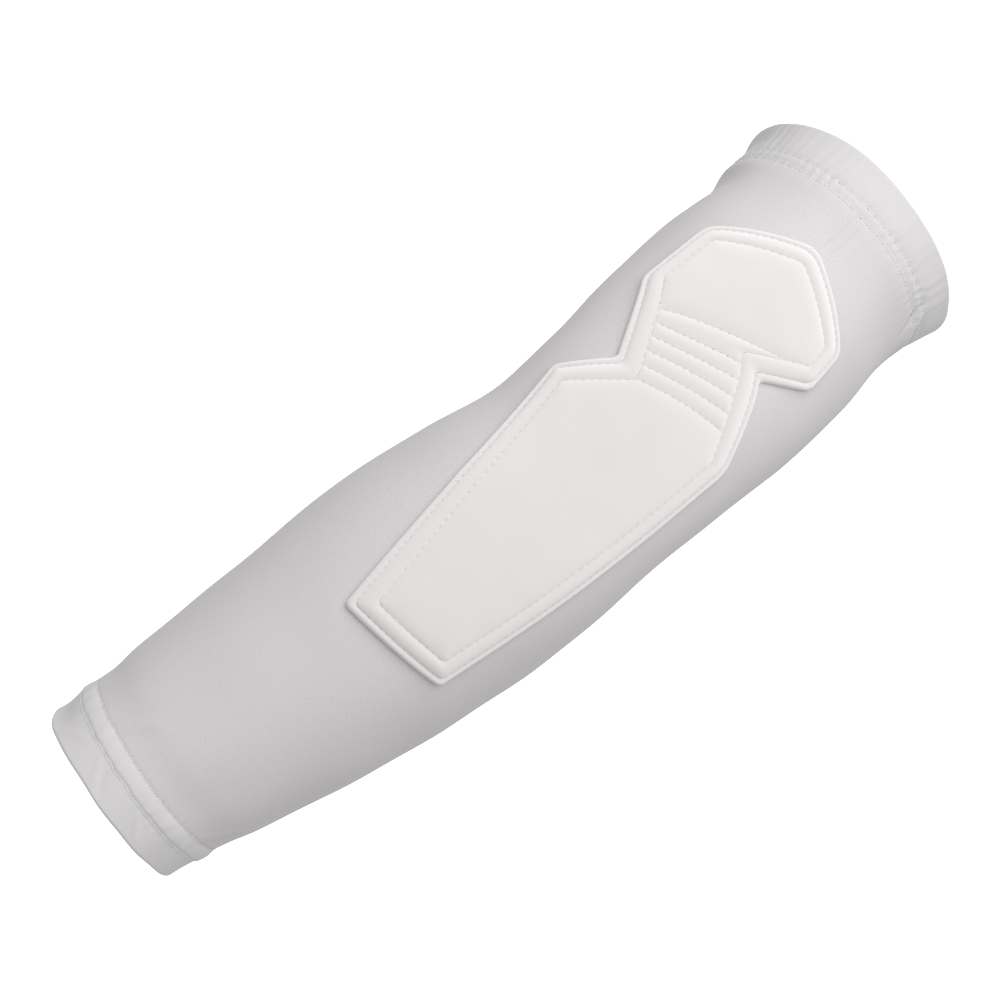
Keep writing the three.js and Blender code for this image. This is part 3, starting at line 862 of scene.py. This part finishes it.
def wrist_hem_shape(along, angle):
    """Lift of the wrist hem: a narrow plain end, hollow at both sides, a step up along the wavy line with a
    pinch and fine puckers at its foot, and a puffed band that falls again to its seam."""
    step = wrist_step(angle)
    fullness = PUFF + ripples(angle, *PUFF_WAVES) + sum(bulge(angle, *values) for values in PUFF_BULGES)
    fall = 1 - 0.5 * smooth_step(along, WRIST_SEAM - 4.0, WRIST_SEAM)
    puff = fullness * fall * smooth_step(along, step - 0.7, step + 1.5)
    plain_end = PLAIN_END * (1 - smooth_step(along, step - 1.5, step))
    pinch = STEP_PINCH * hump(along, step - STEP_THREAD_BACK, 0.8)
    puckers = ripples(angle, *STEP_PUCKERS) * hump(along, step, 3.0) + ripples(angle, *WRIST_WAVES)
    lift = puff - plain_end - pinch + puckers
    return lift + fold_lift(along, angle) + swell_lift(WRIST_HEM_SWELLS, along, angle)


def meeting_knit(shape, along, angle, seam, reach):
    """A hem's lift, changed beside its seam to meet the knit: the step between the two dies away with the
    distance from the seam."""
    edge = np.full(angle[:1].shape, seam)
    step = body_lift(edge, angle[:1]) - shape(edge, angle[:1])
    return shape(along, angle) + step * np.exp(-np.abs(along - seam) / reach)


def upper_hem_lift(along, angle):
    """Lift of the upper hem's outer face, which meets the knit at its seam."""
    return meeting_knit(upper_hem_shape, along, angle, UPPER_SEAM, UPPER_MEETING)


def wrist_hem_lift(along, angle):
    """Lift of the wrist hem's outer face, which meets the knit at its seam."""
    return meeting_knit(wrist_hem_shape, along, angle, WRIST_SEAM, WRIST_MEETING)


def round_grid(profile):
    """The points of a profile by the angles round the arm, as two grids."""
    angle = np.linspace(-np.pi, np.pi, COLUMNS, endpoint=False)
    return np.meshgrid(profile, angle, indexing="ij")


def make_sleeve_body():
    """The knit tube: an outer face from hem to hem, and an inner face one cloth's thickness inside it."""
    outer = graded(WRIST_SEAM + HEM_CLEAR, UPPER_SEAM - HEM_CLEAR, 200, 0.75)
    inner = graded(UPPER_SEAM - HEM_CLEAR, WRIST_SEAM + HEM_CLEAR, 40, 0.6)
    along, angle = round_grid(np.concatenate([outer, inner]))
    lift = body_lift(along, angle)
    lift[len(outer):] -= CLOTH
    return tube_piece("knit_sleeve", along, angle, lift, sleeve_knit)


def make_upper_hem():
    """The upper hem: its outer face, a half round at the edge, and its inner face two cloths further in. Its
    edge reaches further out at one side."""
    roll_start = UPPER_EDGE - EDGE_ROLL
    outer = graded(UPPER_SEAM + HEM_CLEAR, roll_start, 70, 0.3)
    turn = np.linspace(0, np.pi, EDGE_STEPS)[1:-1]
    inner = np.linspace(roll_start, UPPER_SEAM + HEM_CLEAR, INNER_STEPS)
    profile = np.concatenate([outer, roll_start + EDGE_ROLL * np.sin(turn), inner])
    fall = np.concatenate([0 * outer, EDGE_ROLL * (np.cos(turn) - 1), 0 * inner - HEM])
    along, angle = round_grid(profile)
    lift = upper_hem_lift(along, angle) + fall[:, None]
    reach = ripples(angle, *UPPER_EDGE_WAVES) + bulge(angle, *UPPER_REACH)
    along = along + reach * smooth_step(along, UPPER_SECOND_ROW, UPPER_EDGE)
    return tube_piece("upper_hem_band", along, angle, lift, hem_knit)


def make_wrist_hem():
    """The wrist hem: its outer face, its inner face two cloths further in, and a half round at the edge. Its
    edge reaches further out at one side."""
    roll_start = WRIST_EDGE + EDGE_ROLL
    outer = graded(roll_start, WRIST_SEAM - HEM_CLEAR, 80, 0.2)
    inner = np.linspace(WRIST_SEAM - HEM_CLEAR, roll_start, INNER_STEPS)
    turn = np.linspace(0, np.pi, EDGE_STEPS)[1:-1]
    profile = np.concatenate([outer, inner, roll_start - EDGE_ROLL * np.sin(turn)])
    fall = np.concatenate([0 * outer, 0 * inner - HEM, -EDGE_ROLL * (np.cos(turn) + 1)])
    along, angle = round_grid(profile)
    lift = wrist_hem_lift(along, angle) + fall[:, None]
    reach = ripples(angle, *WRIST_EDGE_WAVES) + bulge(angle, *WRIST_REACH)
    along = along + reach * (1 - smooth_step(along, WRIST_EDGE, WRIST_STEP))
    return tube_piece("wrist_hem_band", along, angle, lift, hem_knit)


def hem_row(place, stitch, cloth, proud=0.0):
    """Needle holes round the arm on a line, closed on themselves, with the lift of the cloth there and how
    much prouder the thread lies. The line is a function of the angle, and the cloth of the line and angle."""
    girth_length = 2 * np.pi * mean_radius(place(np.zeros(1)))[0]
    angle = np.linspace(-np.pi, np.pi, int(round(girth_length / stitch)) + 1)[None, :]
    along = place(angle)
    return np.stack([along[0], (angle * mean_radius(along))[0]], axis=1), cloth(along, angle)[0] + proud


knit_sleeve = make_sleeve_body()
upper_hem_band = make_upper_hem()
wrist_hem_band = make_wrist_hem()
hem_stitches = stitch_piece("hem_stitches", [
    hem_row(lambda angle: np.full(angle.shape, UPPER_SEAM), UPPER_HEM_STITCH, body_lift),
    hem_row(lambda angle: np.full(angle.shape, UPPER_SECOND_ROW), UPPER_HEM_STITCH, upper_hem_lift),
    hem_row(lambda angle: np.full(angle.shape, WRIST_SEAM), WRIST_HEM_STITCH, body_lift, WRIST_SEAM_PROUD),
    hem_row(lambda angle: wrist_step(angle) - STEP_THREAD_BACK, WRIST_HEM_STITCH, wrist_hem_lift),
], thread)


# The pad

def welt_section():
    """Insets and lifts of the lip: from the edge seam up to its crest by a quarter of a sine wave, then down
    to its foot on the knit by a quarter circle, a little flattened, and back underneath."""
    share = graded(0.0, 1.0, 17, 0.5)
    rise = np.sin(np.pi / 2 * np.clip(share / WELT_CREST, 0, 1))
    fall = np.clip((share - WELT_CREST) / (1 - WELT_CREST), 0, 1)
    lifts = np.where(share < WELT_CREST,
                     EDGE_SEAM_LIFT + (WELT_LIFT - EDGE_SEAM_LIFT) * rise,
                     WELT_FOOT + (WELT_LIFT - WELT_FOOT) * (1 - fall ** 2) ** 0.6)
    insets = -SEAM_CLEAR - (WELT_WIDTH - SEAM_CLEAR) * share
    return np.append(insets, [-WELT_WIDTH, -SEAM_CLEAR]), np.append(lifts, [WELT_UNDERSIDE, WELT_UNDERSIDE])


def border_section():
    """Insets and lifts of the padded channel: from the quilt seam up to its crest by a quarter of a sine
    wave, then down to the edge seam by a quarter of a cosine wave, a little fuller, and back underneath."""
    share = graded(0.0, 1.0, 23, 0.6)
    rise = np.sin(np.pi / 2 * np.clip(share / BORDER_CREST, 0, 1))
    fall = np.cos(np.pi / 2 * np.clip((share - BORDER_CREST) / (1 - BORDER_CREST), 0, 1)) ** 0.8
    lifts = np.where(share < BORDER_CREST,
                     QUILT_SEAM_LIFT + (BORDER_LIFT - QUILT_SEAM_LIFT) * rise,
                     EDGE_SEAM_LIFT + (BORDER_LIFT - EDGE_SEAM_LIFT) * fall)
    inner_edge = BORDER_WIDTH - SEAM_CLEAR
    insets = inner_edge - (inner_edge - SEAM_CLEAR) * share
    return np.append(insets, [SEAM_CLEAR, inner_edge]), np.append(lifts, [PAD_UNDERSIDE, PAD_UNDERSIDE])


pad_lip = ring_piece("pad_lip", *welt_section(), pad_cloth)
pad_channel = ring_piece("pad_channel", *border_section(), pad_cloth)

# The cells of the quilting, with the rows and columns of their grids
PANEL_GRIDS = {"forearm_panel": (300, 100), "elbow_panel": (120, 120)}
RIB_GRID = (22, 110)
quilted = {}
for node, grid in PANEL_GRIDS.items():
    quilted[node] = quilted_piece(node, PANEL_LIFT, PANEL_SHOULDER, PANEL_CROWN, *grid, pad_cloth)
for rib in range(1, RIB_COUNT + 1):
    node = f"neck_rib_{rib}"
    quilted[node] = quilted_piece(node, RIB_LIFT, RIB_SHOULDER, 0.0, *RIB_GRID, pad_cloth)
pad_stitches = stitch_piece("pad_stitches", [
    (edge_holes, EDGE_SEAM_LIFT - PAD_THREAD_SUNK),
    (quilt_holes, QUILT_SEAM_LIFT - PAD_THREAD_SUNK),
] + [(holes, QUILT_SEAM_LIFT - PAD_THREAD_SUNK) for holes in rib_holes], thread)

# What stands for what

SHOWN = [
    (knit_sleeve, "knit", ("sleeve_body",)),
    (upper_hem_band, "knit", ("upper_hem",)),
    (wrist_hem_band, "knit", ("wrist_hem",)),
    (hem_stitches, "knit", ()),
    (pad_lip, "pad_cloth", ("pad_welt",)),
    (pad_channel, "pad_cloth", ("pad_border",)),
    (pad_stitches, "pad_cloth", ()),
] + [(obj, "pad_cloth", (node,)) for node, obj in quilted.items()]
for obj, slot, nodes in SHOWN:
    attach(obj, "root")
    if nodes:
        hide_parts(*nodes)

# The studio

VIEW_ROLL = np.radians(37.06)
VIEW_TARGET = np.array([-21.3, 10.4, 0.0]) * MM
VIEW_DISTANCE = 1.3
VIEW_LENS = 141.8
# How far the camera stands over towards the wrist, and towards +Y
VIEW_TO_WRIST = np.radians(4.5)
VIEW_TO_SIDE = np.radians(20.0)
KEY_DISTANCE = 3.5
KEY_SPREAD = np.radians(50.0)
KEY_STRENGTH = 2.4
AIR_STRENGTH = 0.57
FLOOR_LEVEL = -0.9
FLOOR_HALF = 60.0
FLOOR_GLOW = 0.6
towards_camera = np.array([-np.sin(VIEW_TO_WRIST), np.sin(VIEW_TO_SIDE), 0.0])
towards_camera[2] = np.sqrt(1 - towards_camera @ towards_camera)
level = np.array([1.0, 0.0, 0.0]) - towards_camera * towards_camera[0]
level /= np.linalg.norm(level)
steep = np.cross(towards_camera, level)
view_right = np.cos(VIEW_ROLL) * level - np.sin(VIEW_ROLL) * steep
view_up = np.sin(VIEW_ROLL) * level + np.cos(VIEW_ROLL) * steep


def facing(place, look, up):
    """The matrix of a camera or lamp at place that looks along look with that way up."""
    look = look / np.linalg.norm(look)
    right = np.cross(look, up)
    right /= np.linalg.norm(right)
    matrix = np.eye(4)
    matrix[:3, 0] = right
    matrix[:3, 1] = np.cross(right, look)
    matrix[:3, 2] = -look
    matrix[:3, 3] = place
    return Matrix(matrix.tolist())


scene = bpy.context.scene
scene.view_settings.view_transform = "Standard"
lens = bpy.data.cameras.new("photo_view")
lens.lens = VIEW_LENS
lens.sensor_width = 36.0
lens.clip_end = 200.0
camera = bpy.data.objects.new("photo_view", lens)
camera.matrix_world = facing(VIEW_TARGET + towards_camera * VIEW_DISTANCE, -towards_camera, view_up)
scene.collection.objects.link(camera)
scene.camera = camera


def soft_box(name, direction, distance, spread, strength):
    """A round soft box at a distance in one direction. Its spread is the angle that it fills as seen from
    the sleeve, and its strength is the light that falls there, from which its power follows as for a disc."""
    lamp = bpy.data.lights.new(name, "AREA")
    lamp.shape = "DISK"
    lamp.size = 2 * distance * np.tan(spread / 2)
    lamp.energy = strength * np.pi * (distance / np.cos(spread / 2)) ** 2
    obj = bpy.data.objects.new(name, lamp)
    direction = direction / np.linalg.norm(direction)
    obj.matrix_world = facing(VIEW_TARGET + direction * distance, -direction, view_up)
    obj.visible_camera = False
    scene.collection.objects.link(obj)


# Near enough that the wrist, which is further from it, is a little darker than the upper arm
towards_key = 0.76 * towards_camera + 0.43 * view_up + 0.465 * view_right
soft_box("key_light", towards_key, KEY_DISTANCE, KEY_SPREAD, KEY_STRENGTH)

# White paper with a glow of its own, so that it stays white all over the picture
paper = bpy.data.materials.new("white_studio_floor")
paper.use_nodes = True
paper_shader = paper.node_tree.nodes["Principled BSDF"]
paper_shader.inputs["Base Color"].default_value = colour("#F8F8F8")
paper_shader.inputs["Roughness"].default_value = 1.0
paper_shader.inputs["Specular IOR Level"].default_value = 0.0
paper_shader.inputs["Emission Color"].default_value = colour("#FFFFFF")
paper_shader.inputs["Emission Strength"].default_value = FLOOR_GLOW
floor_sides = ((-1, -1), (1, -1), (1, 1), (-1, 1))
floor_corners = [(x * FLOOR_HALF, y * FLOOR_HALF, FLOOR_LEVEL) for x, y in floor_sides]
floor_mesh = bpy.data.meshes.new("studio_floor")
floor_mesh.from_pydata(floor_corners, [], [(0, 1, 2, 3)])
floor_mesh.materials.append(paper)
floor = bpy.data.objects.new("studio_floor", floor_mesh)
scene.collection.objects.link(floor)
# White paper this near would light the sleeve from below, which the photograph doesn't show
floor.visible_diffuse = False

world = bpy.data.worlds.new("studio_air")
world.use_nodes = True
air = world.node_tree.nodes["Background"]
air.inputs["Color"].default_value = colour("#FFFFFF")
air.inputs["Strength"].default_value = AIR_STRENGTH
scene.world = world
